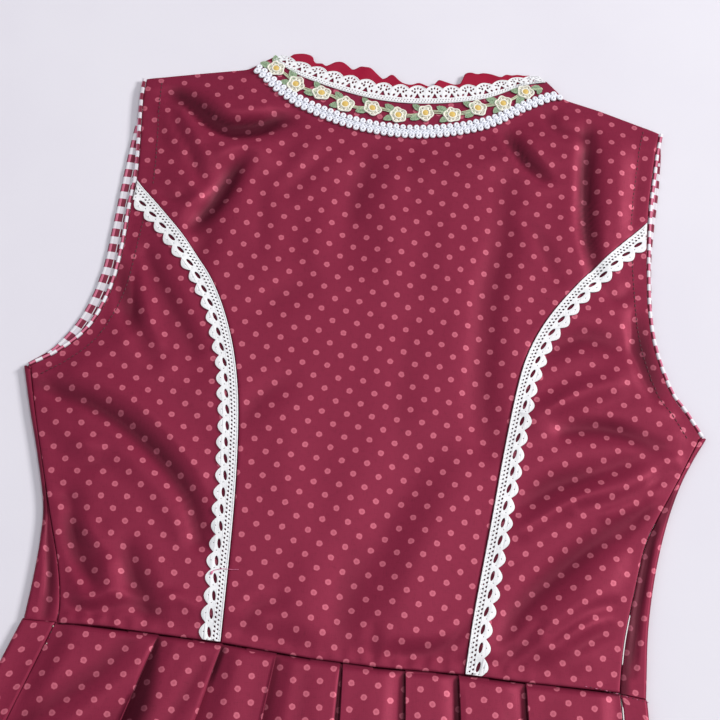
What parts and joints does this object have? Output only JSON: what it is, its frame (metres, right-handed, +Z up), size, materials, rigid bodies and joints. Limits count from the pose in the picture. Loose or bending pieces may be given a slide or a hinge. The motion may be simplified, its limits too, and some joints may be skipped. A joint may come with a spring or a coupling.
{
  "type": "dirndl dress",
  "caption": "Sleeveless dirndl dress laid flat, back up, with lace along the princess seams, neck trims and a pleated skirt that fans from the waist seam.",
  "frame": {"origin": "on the surface the dress lies on, under the middle of the waist seam, on the front's underside", "axes": "+Y up the garment to the neck, +Z up from the surface, +X to the wearer's right seen from behind"},
  "size_m": [0.6679, 1.0686, 0.0131],
  "materials": {
    "dotted_cloth": "satin-sheen woven cloth with printed dots",
    "cotton_lace": "matt cotton bobbin lace",
    "white_braid": "white looped gimp braid",
    "flower_trim": "embroidered chain of flowers and leaves",
    "frill_satin": "plain red satin frill",
    "checked_cotton": "small checked cotton",
    "zip_tape": "white woven zip tape"
  },
  "bodies": {
    "root": {"armhole_facing_left": "checked_cotton", "armhole_facing_right": "checked_cotton", "armhole_piping_left": "checked_cotton", "armhole_piping_right": "checked_cotton", "back_center": "dotted_cloth", "back_side_left": "dotted_cloth", "back_side_right": "dotted_cloth", "front_center": "dotted_cloth", "front_side_left": "dotted_cloth", "front_side_right": "dotted_cloth", "neck_braid": "white_braid", "neck_flowers": "flower_trim", "neck_frill": "frill_satin", "neck_lace": "cotton_lace", "princess_lace_left": "cotton_lace", "princess_lace_right": "cotton_lace", "side_zip": "zip_tape", "skirt_back": "dotted_cloth", "skirt_front": "dotted_cloth"}
  },
  "joints": []
}
